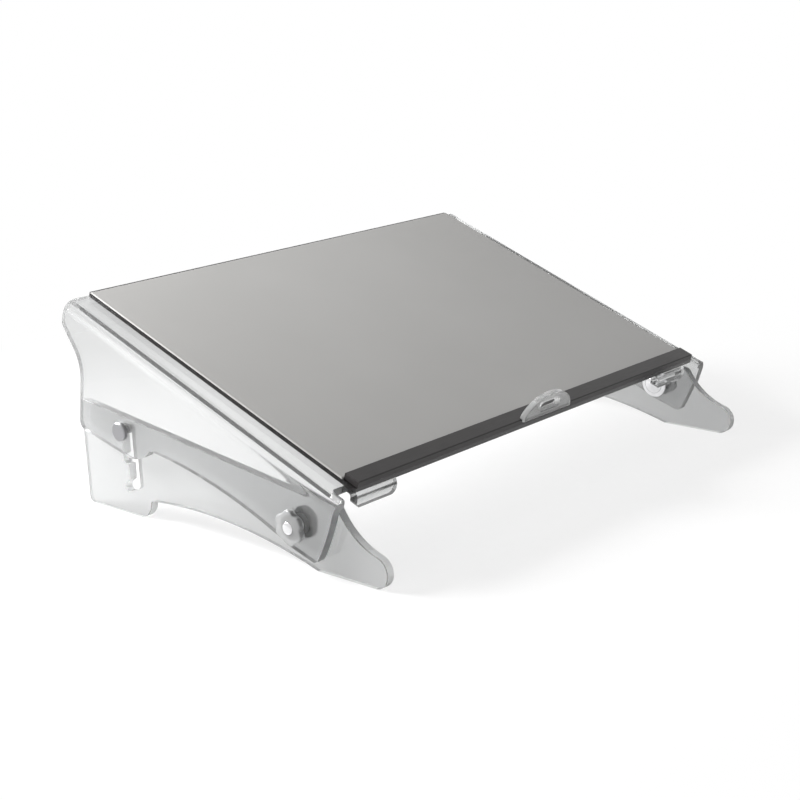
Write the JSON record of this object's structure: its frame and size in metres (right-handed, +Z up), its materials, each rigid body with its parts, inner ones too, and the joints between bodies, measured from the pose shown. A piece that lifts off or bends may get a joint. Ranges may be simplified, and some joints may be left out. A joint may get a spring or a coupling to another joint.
{
  "type": "document holder with drawer",
  "caption": "Clear tilting document slope on two legs, with a grey writing board that slides out towards the user like a drawer.",
  "frame": {"origin": "on the desk, midway between the legs and midway between their toes and rear edges", "axes": "+X across to the user's right, +Y away from the user, +Z up"},
  "size_m": [0.568, 0.381, 0.2005],
  "materials": {
    "clear_leg": "clear, polished",
    "clear_shell": "clear, polished",
    "clear_grip": "clear, polished",
    "clear_knob": "clear, polished",
    "clear_washer": "clear",
    "satin_face": "satin",
    "dark_core": "polished edges",
    "dark_strip": "satin",
    "chrome": "polished",
    "steel": "turned",
    "glide": "smooth",
    "guide": "smooth"
  },
  "bodies": {
    "legs": {"left_leg": "clear_leg", "right_leg": "clear_leg", "left_pivot_spacer": "clear_washer", "right_pivot_spacer": "clear_washer", "left_dome_nut": "chrome", "right_dome_nut": "chrome"},
    "shell": {"shell": "clear_shell", "left_rear_bolt": "steel", "right_rear_bolt": "steel"},
    "drawer": {"writing_board": "dark_core", "board_face": "satin_face", "ledge_strip": "dark_strip", "grip_tab": "clear_grip", "left_glide_strip": "glide", "right_glide_strip": "glide", "guide_studs": "guide", "guide_caps": "guide", "guide_screws": "steel"},
    "left_front_knob": {"left_front_knob": "clear_knob", "left_clamp_stud": "chrome", "left_knob_washer": "clear_washer"},
    "right_front_knob": {"right_front_knob": "clear_knob", "right_clamp_stud": "chrome", "right_knob_washer": "clear_washer"}
  },
  "joints": [
    {"name": "shell_tilt", "type": "hinge", "parent": "legs", "child": "shell", "pos_m": [0, -0.09993, 0.0409], "axis": [1, 0, 0], "range_deg": [-14, 0]},
    {"name": "drawer_slide", "type": "slide", "parent": "shell", "child": "drawer", "axis": [0, -0.9336, -0.3584], "range_m": [0, 0.15]},
    {"name": "left_knob_turn", "type": "hinge", "parent": "legs", "child": "left_front_knob", "pos_m": [0, -0.09993, 0.0409], "axis": [1, 0, 0], "continuous": true},
    {"name": "right_knob_turn", "type": "hinge", "parent": "legs", "child": "right_front_knob", "pos_m": [0, -0.09993, 0.0409], "axis": [1, 0, 0], "continuous": true}
  ]
}
